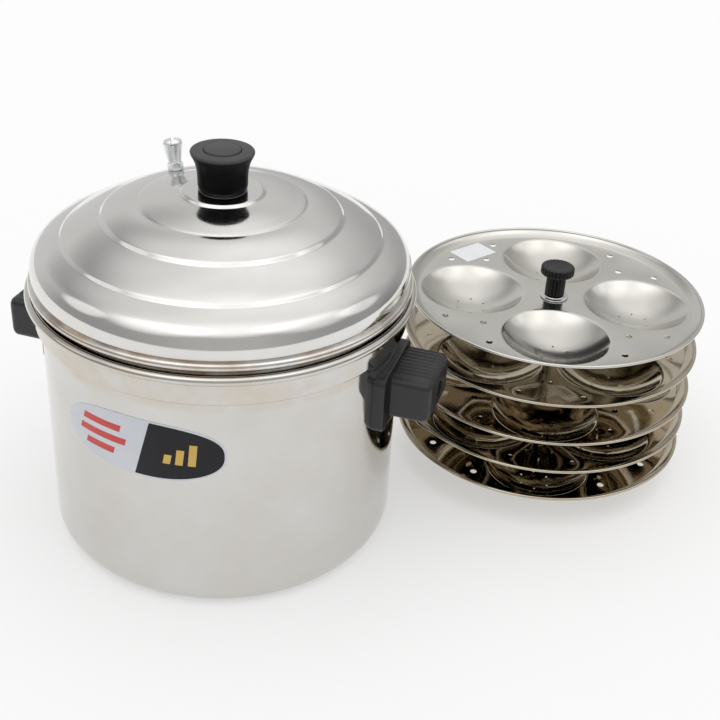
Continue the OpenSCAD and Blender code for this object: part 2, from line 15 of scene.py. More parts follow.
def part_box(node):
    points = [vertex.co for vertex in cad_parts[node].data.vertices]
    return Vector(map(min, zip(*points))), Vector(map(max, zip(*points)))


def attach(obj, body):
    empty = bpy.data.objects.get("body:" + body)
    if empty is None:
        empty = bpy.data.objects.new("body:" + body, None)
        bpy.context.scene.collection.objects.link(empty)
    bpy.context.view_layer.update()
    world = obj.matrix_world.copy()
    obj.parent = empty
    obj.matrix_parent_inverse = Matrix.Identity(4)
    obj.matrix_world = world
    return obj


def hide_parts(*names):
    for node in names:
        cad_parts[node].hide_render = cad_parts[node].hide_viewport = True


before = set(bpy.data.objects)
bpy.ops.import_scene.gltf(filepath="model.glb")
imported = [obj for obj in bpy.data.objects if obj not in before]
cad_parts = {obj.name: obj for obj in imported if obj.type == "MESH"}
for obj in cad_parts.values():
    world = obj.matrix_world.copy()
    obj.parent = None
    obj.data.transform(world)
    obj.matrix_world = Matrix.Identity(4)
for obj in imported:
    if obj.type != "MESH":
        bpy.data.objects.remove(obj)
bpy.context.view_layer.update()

MM = 0.001
SEGMENTS = 256

# Sizes that the CAD has too
POT_R, POT_SHEET, POT_CORNER = 107.8, 1.0, 12.0
LEDGE_Z, NECK_STEP, NECK_H, RIM_ROLL = 144.5, 3.8, 16.5, 2.2
LID_SHEET, LID_PLAY, LID_GAP, BEAD_OUT, BEAD_H = 0.8, 1.0, 2.0, 3.9, 5.0
HANDLE_ANGLE, GRIP_REACH, GRIP_W, GRIP_H, GRIP_Z = -23.5, 137.4, 43.6, 26.4, 117.6
COLLAR_REACH, COLLAR_W, COLLAR_H, COLLAR_Z = 111.4, 56.0, 36.5, 113.75
VENT_R, VENT_ANGLE, VENT_H = 55.5, 120.5, 19.0
PLATE_R, PLATE_SHEET = 99.5, 0.6
MOULD_R, MOULD_DEPTH, MOULD_PLACE, MOULD_ANGLE = 36.0, 14.5, 55.2, -12.2
LABEL_ANGLE, LABEL_W, LABEL_H, LABEL_Z = -116.5, 98.0, 38.0, 109.0
SNUG = 0.1
BEND = 1.2


# ---- outlines ----

def arc(cx, cy, r, a0, a1, count=12):
    """Points of an arc from angle a0 to a1, in degrees."""
    return [
        (cx + r * math.cos(math.radians(a0 + (a1 - a0) * i / count)),
         cy + r * math.sin(math.radians(a0 + (a1 - a0) * i / count)))
        for i in range(count + 1)
    ]


def bow_circle(p, q, rise):
    """Centre and radius of the arc from p to q that bows by rise, to the right as seen from p."""
    p, q = np.array(p, float), np.array(q, float)
    chord = np.linalg.norm(q - p)
    r = (chord * chord / 4 + rise * rise) / (2 * rise)
    d = (q - p) / chord
    return (p + q) / 2 - (r - rise) * np.array([d[1], -d[0]]), r


def bow(p, q, rise, count=16):
    """A shallow arc from p to q that bows by rise, to the right as seen from p."""
    c, r = bow_circle(p, q, rise)
    a0, a1 = (math.degrees(math.atan2(end[1] - c[1], end[0] - c[0])) for end in (p, q))
    return arc(c[0], c[1], r, a0, a1, count)


def soften(line, width, step=0.25):
    """The line with its corners rounded over about width; its ends stay."""
    pts = np.array(line, float)
    run = np.r_[0, np.cumsum(np.linalg.norm(np.diff(pts, axis=0), axis=1))]
    t = np.linspace(0, run[-1], max(8, int(run[-1] / step)) + 1)
    even = np.c_[np.interp(t, run, pts[:, 0]), np.interp(t, run, pts[:, 1])]
    reach = int(3 * width / step)
    kernel = np.exp(-0.5 * (np.arange(-reach, reach + 1) * step / width) ** 2)
    kernel /= kernel.sum()
    padded = np.vstack([2 * even[0] - even[reach:0:-1], even, 2 * even[-1] - even[-2:-reach - 2:-1]])
    return thin_out(np.c_[[np.convolve(padded[:, k], kernel, "valid") for k in (0, 1)]].T)


def thin_out(pts, tolerance=0.004):
    """Fewer points along a smooth line: a point goes where it lies within tolerance of the chord."""
    keep, stack = {0, len(pts) - 1}, [(0, len(pts) - 1)]
    while stack:
        a, b = stack.pop()
        if b - a < 2:
            continue
        way = pts[b] - pts[a]
        length = np.linalg.norm(way)
        off = pts[a + 1:b] - pts[a]
        if length > 1e-9:
            away = np.abs(off[:, 0] * way[1] - off[:, 1] * way[0]) / length
        else:
            away = np.linalg.norm(off, axis=1)
        worst = int(np.argmax(away))
        if away[worst] > tolerance:
            keep.add(a + 1 + worst)
            stack += [(a, a + 1 + worst), (a + 1 + worst, b)]
    return [tuple(pts[i]) for i in sorted(keep)]


def side(line, d):
    """The line moved sideways by d."""
    pts = np.array(line, float)
    ways = np.diff(pts, axis=0)
    ways /= np.linalg.norm(ways, axis=1)[:, None]
    before = np.vstack([ways[:1], ways])
    after = np.vstack([ways, ways[-1:]])
    way = before + after
    way /= np.linalg.norm(way, axis=1)[:, None]
    scale = d / np.sum(way * before, axis=1)
    moved = pts + scale[:, None] * np.c_[-way[:, 1], way[:, 0]]
    moved[:, 0] = np.maximum(moved[:, 0], 0)
    return [tuple(p) for p in moved]


def sheet(line, t, round_start=True, round_end=True):
    """Closed outline of a sheet of thickness t along its middle line, with rounded edges."""
    left, right = side(line, t / 2), side(line, -t / 2)
    outline = list(left)
    if round_end:
        outline += edge_round(line[-2], line[-1], t)
    outline += right[::-1]
    if round_start:
        outline += edge_round(line[1], line[0], t)
    return outline


def edge_round(inner, end, t):
    """Points that round off a sheet's end, from its left face to its right face as seen going out."""
    way = np.array(end, float) - np.array(inner, float)
    heading = math.degrees(math.atan2(way[1], way[0]))
    return arc(end[0], end[1], t / 2, heading + 90, heading - 90, 8)[1:-1]


def circle(cx, cy, r, count):
    """Points of a closed circle, without the first again at the end."""
    return [
        (cx + r * math.cos(2 * math.pi * i / count), cy + r * math.sin(2 * math.pi * i / count))
        for i in range(count)
    ]


# ---- meshes ----

def lathe(outline, steps=SEGMENTS, centre=(0, 0), lift=0.0, closed=True):
    """Vertices and faces of an outline turned about a vertical axis."""
    verts, rings = [], []
    for r, z in outline:
        if r < 1e-4:
            rings.append([len(verts)])
            verts.append((centre[0], centre[1], z + lift))
            continue
        start = len(verts)
        for i in range(steps):
            a = 2 * math.pi * i / steps
            verts.append((centre[0] + r * math.cos(a), centre[1] + r * math.sin(a), z + lift))
        rings.append(list(range(start, start + steps)))
    faces = []
    for k in range(len(rings) if closed else len(rings) - 1):
        a, b = rings[k], rings[(k + 1) % len(rings)]
        if len(a) == 1 and len(b) == 1:
            continue
        for i in range(steps):
            j = (i + 1) % steps
            if len(a) == 1:
                faces.append((a[0], b[i], b[j]))
            elif len(b) == 1:
                faces.append((a[i], b[0], a[j]))
            else:
                faces.append((a[i], b[i], b[j], a[j]))
    return verts, faces


def loft(loops, cap_start=True, cap_end=True):
    """Vertices and faces through loops of 3-D points with equal counts."""
    verts = [p for loop in loops for p in loop]
    n = len(loops[0])
    faces = [
        (k * n + i, k * n + (i + 1) % n, (k + 1) * n + (i + 1) % n, (k + 1) * n + i)
        for k in range(len(loops) - 1) for i in range(n)
    ]
    if cap_start:
        faces.append(tuple(range(n - 1, -1, -1)))
    if cap_end:
        faces.append(tuple(range((len(loops) - 1) * n, len(loops) * n)))
    return verts, faces


def moved(shape, matrix):
    """The shape put elsewhere by a matrix in millimetres."""
    verts, faces = shape
    return [tuple(matrix @ Vector(v)) for v in verts], faces


def joined(*shapes):
    """Several shapes as one, with nothing welded."""
    verts, faces = [], []
    for v, f in shapes:
        start = len(verts)
        verts += list(v)
        faces += [tuple(i + start for i in face) for face in f]
    return verts, faces


def flat_triangles(loops, points, keep):
    """Triangles between closed loops and loose points in the plane, where keep(x, y) holds."""
    verts, edges = [], []
    for loop in loops:
        start, n = len(verts), len(loop)
        verts += [Vector(p) for p in loop]
        edges += [(start + i, start + (i + 1) % n) for i in range(n)]
    verts += [Vector(p) for p in points]
    out = geometry.delaunay_2d_cdt(verts, edges, [], 0, 1e-5)
    flat = [tuple(v) for v in out[0]]
    kept = []
    for f in out[2]:
        x = sum(flat[i][0] for i in f) / len(f)
        y = sum(flat[i][1] for i in f) / len(f)
        if keep(x, y):
            kept.append(tuple(f))
    return flat, kept


def raw_object(name, shape, weld=0.0):
    """A mesh object in the scene, from vertices and faces in millimetres."""
    verts, faces = shape
    mesh = bpy.data.meshes.new(name)
    mesh.from_pydata([(x * MM, y * MM, z * MM) for x, y, z in verts], [], faces)
    work = bmesh.new()
    work.from_mesh(mesh)
    if weld:
        bmesh.ops.remove_doubles(work, verts=work.verts, dist=weld * MM)
    bmesh.ops.delete(work, geom=[v for v in work.verts if not v.link_faces], context="VERTS")
    bmesh.ops.recalc_face_normals(work, faces=work.faces)
    work.to_mesh(mesh)
    work.free()
    obj = bpy.data.objects.new(name, mesh)
    bpy.context.scene.collection.objects.link(obj)
    return obj


def build(name, shape, body, material, sharp=34, weld=0.0, thickness=0.0):
    """A mesh piece that rides on a CAD body. thickness makes an open surface a sheet."""
    piece = raw_object(name, shape, weld)
    if thickness:
        solid = piece.modifiers.new("sheet", "SOLIDIFY")
        solid.thickness = thickness * MM
        solid.offset = 0
        solid.use_even_offset = True
        bake_modifiers(piece)
    finish_piece(piece, body, material, sharp)
    return piece


def finish_piece(piece, body, material, sharp=34):
    """Material, shading with edges over sharp degrees, and the body that the piece rides on."""
    mesh = piece.data
    mesh.materials.clear()
    mesh.materials.append(material)
    mesh.shade_smooth()
    mesh.set_sharp_from_angle(angle=math.radians(sharp))
    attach(piece, body)


def bake_modifiers(piece):
    """The piece's mesh becomes what its modifiers make of it."""
    bpy.context.view_layer.update()
    graph = bpy.context.evaluated_depsgraph_get()
    mesh = bpy.data.meshes.new_from_object(piece.evaluated_get(graph))
    piece.modifiers.clear()
    piece.data = mesh


def combine(piece, shape, operation):
    """The piece becomes what is left or made when a closed shape is cut from it or joined to it."""
    tool = raw_object(f"{piece.name}_tool", shape)
    mod = piece.modifiers.new("tool", "BOOLEAN")
    mod.object = tool
    mod.operation = operation
    mod.solver = "EXACT"
    bake_modifiers(piece)
    bpy.data.objects.remove(tool)


# ---- materials ----

def material(name):
    """A new material with its nodes, links and principled shader."""
    mat = bpy.data.materials.new(name)
    mat.use_nodes = True
    nodes = mat.node_tree.nodes
    nodes.clear()
    out = nodes.new("ShaderNodeOutputMaterial")
    shader = nodes.new("ShaderNodeBsdfPrincipled")
    mat.node_tree.links.new(shader.outputs[0], out.inputs[0])
    return mat, nodes, mat.node_tree.links, shader


def calculate(nodes, links, kind, operation, values):
    """A new node of that kind, fed with numbers, vectors or other nodes' outputs."""
    node = nodes.new(kind)
    node.operation = operation
    for socket, value in zip(node.inputs, values):
        if isinstance(value, bpy.types.NodeSocket):
            links.new(value, socket)
        else:
            socket.default_value = value
    return node


def maths(nodes, links, operation, *values):
    return calculate(nodes, links, "ShaderNodeMath", operation, values).outputs[0]


def vector_maths(nodes, links, operation, *values):
    node = calculate(nodes, links, "ShaderNodeVectorMath", operation, values)
    return node.outputs["Value" if operation in ("LENGTH", "DOT_PRODUCT") else "Vector"]


def object_place(nodes):
    return nodes.new("ShaderNodeTexCoord").outputs["Object"]


def axes(nodes, links, vector):
    """The X, Y and Z of a vector."""
    node = nodes.new("ShaderNodeSeparateXYZ")
    links.new(vector, node.inputs[0])
    return node.outputs


def noise(nodes, links, vector, scale, detail=3.0, rough=0.5):
    node = nodes.new("ShaderNodeTexNoise")
    node.inputs["Scale"].default_value = scale
    node.inputs["Detail"].default_value = detail
    node.inputs["Roughness"].default_value = rough
    links.new(vector, node.inputs["Vector"])
    return node.outputs["Fac"]


def spread(nodes, links, value, low, high, start=0.3, end=0.7, ease="LINEAR"):
    """value from start to end becomes low to high."""
    node = nodes.new("ShaderNodeMapRange")
    node.interpolation_type = ease
    node.inputs["From Min"].default_value = start
    node.inputs["From Max"].default_value = end
    node.inputs["To Min"].default_value = low
    node.inputs["To Max"].default_value = high
    links.new(value, node.inputs["Value"])
    return node.outputs["Result"]


def tint(nodes, links, value, colour_a, colour_b):
    """A mix of two colours by value. The first may also be another node's colour."""
    node = nodes.new("ShaderNodeMix")
    node.data_type = "RGBA"
    if isinstance(colour_a, tuple):
        node.inputs["A"].default_value = (*colour_a, 1)
    else:
        links.new(colour_a, node.inputs["A"])
    node.inputs["B"].default_value = (*colour_b, 1)
    links.new(value, node.inputs["Factor"])
    return node.outputs["Result"]


def bump(nodes, links, shader, height, strength, distance):
    node = nodes.new("ShaderNodeBump")
    node.inputs["Strength"].default_value = strength
    node.inputs["Distance"].default_value = distance
    links.new(height, node.inputs["Height"])
    links.new(node.outputs["Normal"], shader.inputs["Normal"])


# Depths of the relief in metres, then soft edges of stains and painted sheen in millimetres, and the most
# sheen
SHEET_DEPTH, GRAIN_DEPTH = 0.004, 0.0001
STAIN_EDGE, SHEEN_EDGE, SHEEN_MOST = 3.0, 1.5, 7.3


def spun_steel(name, colour, dull, rough, centre=(0, 0), wave=0.05, scratch=0.0012, ripple=0.0, stain=None):
    """Polished sheet steel with fine marks round its axis, faint waves in the sheet and soft smudges.

    wave and scratch are shares of SHEET_DEPTH, and ripple is a share of wave. stain is the lowest and the
    highest place of a patchy band and its colour.
    """
    mat, nodes, links, shader = material(name)
    place = object_place(nodes)
    from_axis = vector_maths(nodes, links, "SUBTRACT", place, (centre[0] * MM, centre[1] * MM, 0))
    height = axes(nodes, links, from_axis)["Z"]
    flat = vector_maths(nodes, links, "MULTIPLY", from_axis, (1, 1, 0))
    ring = nodes.new("ShaderNodeCombineXYZ")
    links.new(vector_maths(nodes, links, "LENGTH", flat), ring.inputs["X"])
    links.new(height, ring.inputs["Y"])
    marks = noise(nodes, links, ring.outputs[0], 2600, 2.0)
    waves = noise(nodes, links, place, 16, 1.0)
    if ripple:
        along = vector_maths(nodes, links, "MULTIPLY_ADD", place, (0.07, 0.07, 0.07), ring.outputs[0])
        waves = maths(nodes, links, "MULTIPLY_ADD", noise(nodes, links, along, 75, 1.0), ripple, waves)
    smudge = noise(nodes, links, place, 22, 5.0, 0.6)
    shade = tint(nodes, links, spread(nodes, links, smudge, 0, 1), colour, dull)
    if stain:
        low, high, brown = stain
        over = spread(nodes, links, height, 0, 1, (low - STAIN_EDGE) * MM, low * MM)
        under = spread(nodes, links, height, 1, 0, high * MM, (high + STAIN_EDGE) * MM)
        patches = spread(nodes, links, noise(nodes, links, place, 34, 4.0, 0.6), 0, 1, 0.42, 0.68)
        band = maths(nodes, links, "MULTIPLY", over, under)
        shade = tint(nodes, links, maths(nodes, links, "MULTIPLY", band, patches), shade, brown)
    links.new(shade, shader.inputs["Base Color"])
    worn = maths(nodes, links, "MULTIPLY_ADD", marks, 0.35, smudge)
    links.new(spread(nodes, links, worn, *rough, 0.45, 0.95), shader.inputs["Roughness"])
    shader.inputs["Metallic"].default_value = 1.0
    relief = maths(nodes, links, "MULTIPLY_ADD", marks, scratch, maths(nodes, links, "MULTIPLY", waves, wave))
    bump(nodes, links, shader, relief, 1.0, SHEET_DEPTH)
    return mat


def grained(name, colour, other, rough, patch_scale, patch_detail, grain_scale, depth, sheen_z=None):
    """A material whose colour and gloss change softly from place to place, over a fine grain.

    Over the height in its last argument it gets much more of the other colour: a painted sheen, lighter on
    top.
    """
    mat, nodes, links, shader = material(name)
    place = object_place(nodes)
    patches = noise(nodes, links, place, patch_scale, patch_detail)
    share = spread(nodes, links, patches, 0, 1)
    # Above that height the colour is painted lighter: a painted sheen where the top catches the light.
    if sheen_z:
        height = axes(nodes, links, place)["Z"]
        painted_sheen = spread(nodes, links, height, 0, SHEEN_MOST, (sheen_z - SHEEN_EDGE) * MM, sheen_z * MM)
        share = maths(nodes, links, "ADD", painted_sheen, share)
    shade = tint(nodes, links, share, colour, other)
    shade.node.clamp_factor = not sheen_z
    links.new(shade, shader.inputs["Base Color"])
    links.new(spread(nodes, links, patches, *rough), shader.inputs["Roughness"])
    bump(nodes, links, shader, noise(nodes, links, place, grain_scale, 2.0), depth, GRAIN_DEPTH)
    return mat, shader


def moulded_black(name, colour, worn, rough, shine=0.5, sheen_z=None):
    """Moulded thermoset plastic: near black, with a soft, uneven sheen."""
    mat, shader = grained(name, colour, worn, rough, 60, 4.0, 2400, 0.12, sheen_z)
    shader.inputs["Specular IOR Level"].default_value = shine
    return mat


def plain_metal(name, colour, dull, rough):
    """Turned or rolled metal in small pieces, slightly uneven in its polish."""
    mat, shader = grained(name, colour, dull, rough, 90, 4.0, 3200, 0.08)
    shader.inputs["Metallic"].default_value = 1.0
    return mat


def printed(name, colour, faded, rough=(0.3, 0.42), shine=0.5):
    """A printed film or paper: its ink, faintly mottled, with a soft gloss."""
    mat, shader = grained(name, colour, faded, rough, 45, 5.0, 1500, 0.06)
    shader.inputs["Specular IOR Level"].default_value = shine
    return mat


rack_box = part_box("rack_rod")
RACK = ((rack_box[0].x + rack_box[1].x) / 2 / MM, (rack_box[0].y + rack_box[1].y) / 2 / MM)
KNOB_EDGE_Z = 243.2

pot_steel = spun_steel("pot_steel", (0.66, 0.648, 0.625), (0.615, 0.595, 0.56), (0.06, 0.1),
                       stain=(139, 162, (0.6, 0.54, 0.46)))
lid_steel = spun_steel("lid_steel", (0.76, 0.75, 0.73), (0.72, 0.705, 0.68), (0.08, 0.13), ripple=0.9,
                       stain=(161, 171, (0.56, 0.46, 0.37)))
plate_steel = spun_steel("plate_steel", (0.69, 0.675, 0.635), (0.64, 0.62, 0.57), (0.15, 0.22), RACK, 0.03)
# A darker, warmer copy of the plate steel for the plates under the top one: painted shade of the stack and
# its warm inter-reflections.
plate_steel_painted_shade = spun_steel("plate_steel_painted_shade", (0.58, 0.525, 0.43), (0.48, 0.42, 0.32), (0.05, 0.1), RACK, 0.06, 0.0)
rack_steel = plain_metal("rack_steel", (0.66, 0.65, 0.63), (0.6, 0.58, 0.55), (0.12, 0.22))
fastener_steel = plain_metal("fastener_steel", (0.7, 0.69, 0.68), (0.62, 0.61, 0.59), (0.12, 0.24))
# Steel painted dark for the knob's seat: painted shade in the thin gap under the knob's foot.
seat_steel_painted_shade = plain_metal("seat_steel_painted_shade", (0.2, 0.2, 0.21), (0.14, 0.14, 0.15), (0.25, 0.35))
vent_metal = plain_metal("vent_metal", (0.93, 0.95, 0.97), (0.87, 0.89, 0.91), (0.35, 0.45))
insert_brass = plain_metal("insert_brass", (0.72, 0.53, 0.24), (0.6, 0.43, 0.2), (0.2, 0.35))
handle_black = moulded_black("handle_black", (0.012, 0.012, 0.0145), (0.02, 0.02, 0.023), (0.3, 0.45))
# The knob is painted lighter above KNOB_EDGE_Z: a painted sheen on its top.
knob_black = moulded_black("knob_black", (0.002, 0.002, 0.0025), (0.012, 0.012, 0.0125), (0.12, 0.18), 0.04,
                           KNOB_EDGE_Z)
rack_black = moulded_black("rack_black", (0.004, 0.004, 0.004), (0.008, 0.008, 0.008), (0.3, 0.45), 0.4)
print_silver = printed("print_silver", (0.72, 0.75, 0.8), (0.8, 0.82, 0.86))
print_black = printed("print_black", (0.01, 0.01, 0.013), (0.016, 0.016, 0.02), (0.25, 0.35), 0.25)
print_red = printed("print_red", (0.72, 0.055, 0.05), (0.66, 0.08, 0.07))
print_gold = printed("print_gold", (0.78, 0.52, 0.12), (0.7, 0.45, 0.1))
sticker_paper = printed("sticker_paper", (0.82, 0.83, 0.85), (0.76, 0.77, 0.79), (0.6, 0.75))


# ---- pot ----

body_mid = POT_R - POT_SHEET / 2
neck_mid = POT_R + NECK_STEP - POT_SHEET / 2
rim_z = LEDGE_Z + NECK_H
rim_top = rim_z + RIM_ROLL + POT_SHEET / 2

pot_line = (
    [(0, POT_SHEET / 2), (60, POT_SHEET / 2)]
    + arc(POT_R - POT_CORNER, POT_CORNER, POT_CORNER - POT_SHEET / 2, -90, 0, 24)
    + arc(body_mid + BEND, LEDGE_Z - BEND, BEND, 180, 90, 8)
    + arc(neck_mid - BEND, LEDGE_Z + BEND, BEND, -90, 0, 8)
    + arc(neck_mid + RIM_ROLL, rim_z, RIM_ROLL, 180, -100, 30)
)
pot = build("pot_body", lathe(sheet(soften(pot_line, 0.35), POT_SHEET, round_start=False)),
            "pot", pot_steel)
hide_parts("pot_shell")


# ---- lid ----

skirt_r = POT_R + NECK_STEP - POT_SHEET - LID_PLAY
skirt_mid = skirt_r - LID_SHEET / 2
skirt_z = LEDGE_Z + POT_SHEET / 2 + 0.2
bead_mid = rim_top + LID_GAP + BEAD_H / 2
bead_top = rim_top + LID_GAP + BEAD_H
bead_roll = (BEAD_H - LID_SHEET) / 2
bead_r = skirt_r + BEAD_OUT - BEAD_H / 2

RING_STEP, RING_SHARES = 1.8, (0.5, 1.0, 1.3, 0.5, 1.0)
SHOULDER, BAND_BOW = 15.0, 0.9
step_in = RING_STEP * 0.85
rings = [(104.2, bead_top + 17.6)]
for r, rise in ((93.8, 4.9), (70.5, 12.0), (48.6, 7.8), (24.5, 5.4)):
    rings.append((r, rings[-1][1] + rise))
ring_in = [(r - share * step_in, z + share * RING_STEP) for (r, z), share in zip(rings, RING_SHARES)]
crown_z = ring_in[4][1]
shoulder_r = bead_r + BEAD_H / 2 - 2.2 - SHOULDER
shoulder_z = bead_top + 5.3
shoulder_end = math.degrees(math.asin((rings[0][1] - shoulder_z) / SHOULDER))

lid_line = (
    [(skirt_mid, skirt_z)]
    + arc(skirt_mid + BEND, bead_mid - bead_roll - BEND, BEND, 180, 90, 6)
    + arc(bead_r, bead_mid, bead_roll, -90, 110, 20)
    + arc(shoulder_r, shoulder_z, SHOULDER, -16, shoulder_end, 20)
    + bow(ring_in[0], rings[1], 0.3)
    + bow(ring_in[1], rings[2], BAND_BOW)
    + bow(ring_in[2], rings[3], BAND_BOW)
    + bow(ring_in[3], rings[4], 0.45)
    + [ring_in[4], (0, crown_z)]
)
lid = build("lid_dome", lathe(sheet(soften(lid_line, 0.55), LID_SHEET, round_end=False)),
            "lid", lid_steel)
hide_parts("lid_shell")

KNOB_TOP_R, KNOB_WAIST_R, KNOB_H, CAP_R, FERRULE_H = 18.5, 14.5, 22.5, 10.6, 1.2
KNOB_BORE_R, KNOB_SINK_R, CAP_DEPTH, SINK_DEPTH = 2.9, 5.3, 4, 8
ferrule_z = crown_z + LID_SHEET / 2 + SNUG
knob_z = ferrule_z + FERRULE_H + SNUG / 2

ferrule_outline = soften(
    [(KNOB_BORE_R, 0), (KNOB_WAIST_R - 0.4, 0), (KNOB_WAIST_R - 0.3, 0.2),
     (KNOB_WAIST_R - 1, FERRULE_H / 2), (KNOB_WAIST_R - 1.6, FERRULE_H / 2 + 0.1),
     (KNOB_WAIST_R - 1.6, FERRULE_H), (KNOB_BORE_R, FERRULE_H)], 0.1)
# The seat wears the dark steel: painted shade under the knob's foot.
ferrule = build("knob_seat", lathe(ferrule_outline, 128, lift=ferrule_z),
                "lid", seat_steel_painted_shade)
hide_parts("knob_ferrule")

head_edge = KNOB_H - 2.4
flare = [
    (KNOB_WAIST_R + (KNOB_TOP_R - KNOB_WAIST_R - 0.5) * s ** 3, 2 + (head_edge - 2.6) * s)
    for s in [i / 16 for i in range(17)]
]
foot_r = KNOB_WAIST_R - 0.2
knob_outline = soften(
    [(KNOB_BORE_R, 0)] + arc(foot_r - 0.8, 0.8, 0.8, -90, 0, 8) + flare
    + arc(KNOB_TOP_R - 1.2, head_edge + 0.9, 1.2, -10, 75, 10)
    + [(CAP_R + 1.0, KNOB_H - 0.1), (CAP_R + 0.35, KNOB_H - 0.35), (CAP_R + SNUG, KNOB_H - 0.9),
       (CAP_R + SNUG, KNOB_H - CAP_DEPTH), (KNOB_SINK_R, KNOB_H - CAP_DEPTH),
       (KNOB_SINK_R, KNOB_H - SINK_DEPTH), (KNOB_BORE_R, KNOB_H - SINK_DEPTH)], 0.16)
knob = build("lid_knob_body", lathe(knob_outline, 160, lift=knob_z), "lid", knob_black)
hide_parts("lid_knob")
cap_outline = soften(
    [(0, KNOB_H - 3.9), (CAP_R, KNOB_H - 3.9)] + arc(CAP_R - 0.9, KNOB_H - 0.35, 0.9, 0, 80, 8)
    + bow((CAP_R - 1.2, KNOB_H + 0.5), (0, KNOB_H + 0.9), 0.1), 0.12)
cap = build("lid_knob_button", lathe(cap_outline, 128, lift=knob_z, closed=False),
            "lid", knob_black)
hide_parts("knob_cap")

# The vent stands square to the band between the third and the innermost ring
band_c, band_r = bow_circle(ring_in[2], rings[3], BAND_BOW)
vent_tilt = math.asin((VENT_R - band_c[0]) / band_r)
vent_z = band_c[1] + band_r * math.cos(vent_tilt)
vent_place = (Matrix.Rotation(math.radians(VENT_ANGLE), 4, "Z")
              @ Matrix.Translation((VENT_R, 0, vent_z)) @ Matrix.Rotation(vent_tilt, 4, "Y"))
VENT_FOOT, VENT_TOP, VENT_BORE, VENT_SLOT, VENT_BASE_R, VENT_BASE_H = 3.7, 6.0, 1.5, 1.8, 4.8, 4.6
VENT_BASE_TURN, SLOT_TURN = 10, 60
base_z = LID_SHEET / 2 + SNUG
vent_dome = VENT_TOP * 0.55
vent_top_z = base_z + VENT_H
vent_outline = soften(
    [(VENT_BORE, -5.3), (VENT_FOOT - 0.6, -5.3), (VENT_FOOT - 0.6, base_z + 1),
     (VENT_FOOT, base_z + VENT_BASE_H - 1), (VENT_FOOT, base_z + VENT_BASE_H),
     (VENT_TOP, vent_top_z - vent_dome)]
    + arc(VENT_TOP - vent_dome, vent_top_z - vent_dome, vent_dome, 0, 90, 12)
    + [(VENT_BORE, vent_top_z)], 0.15)


def hexagon_section(z, most):
    """A hexagon whose corners are cut back to the radius most."""
    flat = VENT_BASE_R * math.cos(math.radians(30))
    loop = []
    for a in range(0, 360, 3):
        r = min(flat / math.cos(math.radians(a % 60 - 30)), most)
        turn = math.radians(a + VENT_BASE_TURN)
        loop.append((r * math.cos(turn), r * math.sin(turn), z))
    return loop


vent_base = loft([hexagon_section(base_z + h, most) for h, most in (
    (0, VENT_BASE_R - 0.4), (0.25, VENT_BASE_R), (VENT_BASE_H - 0.7, VENT_BASE_R),
    (VENT_BASE_H, VENT_BASE_R - 0.6))])
slot_low, slot_high = vent_top_z - vent_dome - 1, vent_top_z + 3
slot_outline = [(-VENT_SLOT / 2, slot_low), (VENT_SLOT / 2, slot_low)]
slot_outline += arc(VENT_SLOT / 2 + 0.8, vent_top_z - 0.75, 0.8, 180, 100, 8)
slot_outline += [(3.2, slot_high), (-3.2, slot_high)]
slot_outline += arc(-VENT_SLOT / 2 - 0.8, vent_top_z - 0.75, 0.8, 80, 0, 8)
slot_turn = Matrix.Rotation(math.radians(SLOT_TURN), 4, "Z")
vent = raw_object("vent_nozzle", lathe(vent_outline, 96))
combine(vent, vent_base, "UNION")
combine(vent, moved(loft([[(x, y, z) for x, z in slot_outline] for y in (-8, 8)]), slot_turn), "DIFFERENCE")
vent.data.transform(Matrix.Scale(1 / MM, 4))
vent.data.transform(vent_place)
vent.data.transform(Matrix.Scale(MM, 4))
finish_piece(vent, "lid", vent_metal, 34)
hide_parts("steam_vent")


# ---- handles ----

def rounded_rectangle(w, h, r, corner=10):
    """Points of a rounded rectangle round the origin, anticlockwise."""
    pts = []
    for cx, cy, a in ((1, 1, 0), (-1, 1, 90), (-1, -1, 180), (1, -1, 270)):
        pts += arc(cx * (w / 2 - r), cy * (h / 2 - r), r, a, a + 90, corner)
    return pts


def divided(outline, pitch):
    """A closed outline with points added along its long edges, so that it can be bent."""
    full = []
    for p, q in zip(outline, outline[1:] + outline[:1]):
        n = max(1, math.ceil(math.dist(p, q) / pitch))
        full += [(p[0] + (q[0] - p[0]) * k / n, p[1] + (q[1] - p[1]) * k / n) for k in range(n)]
    return full


def inset(outline, d):
    """A closed outline (anticlockwise) moved inwards by d."""
    pts = np.array(outline, float)
    before = pts - np.roll(pts, 1, axis=0)
    after = np.roll(pts, -1, axis=0) - pts
    before /= np.linalg.norm(before, axis=1)[:, None]
    after /= np.linalg.norm(after, axis=1)[:, None]
    way = before + after
    way /= np.linalg.norm(way, axis=1)[:, None]
    return [tuple(p) for p in pts + d * np.c_[-way[:, 1], way[:, 0]]]


def inside(outline, x, y):
    """Whether a point lies in a closed outline."""
    hit = False
    for (x0, y0), (x1, y1) in zip(outline, outline[1:] + outline[:1]):
        if (y0 > y) != (y1 > y) and x < (x1 - x0) * (y - y0) / (y1 - y0) + x0:
            hit = not hit
    return hit


def filled(outline, margin, pitch_y, pitch_z):
    """Triangles that fill an outline, with loose points inside so that they can be bent."""
    near = inset(outline, 0.6)
    (y0, z0), (y1, z1) = np.min(outline, axis=0), np.max(outline, axis=0)
    points = [
        (y, z) for y in np.arange(y0 + margin, y1, pitch_y) for z in np.arange(z0 + margin, z1, pitch_z)
        if inside(near, y, z)
    ]
    return flat_triangles([outline], points, lambda y, z: inside(outline, y, z))


def bent(r, points):
    """Points of (sideways, height) laid on a cylinder round the pot's axis, facing +X."""
    return [(math.sqrt(r * r - y * y), y, z) for y, z in points]


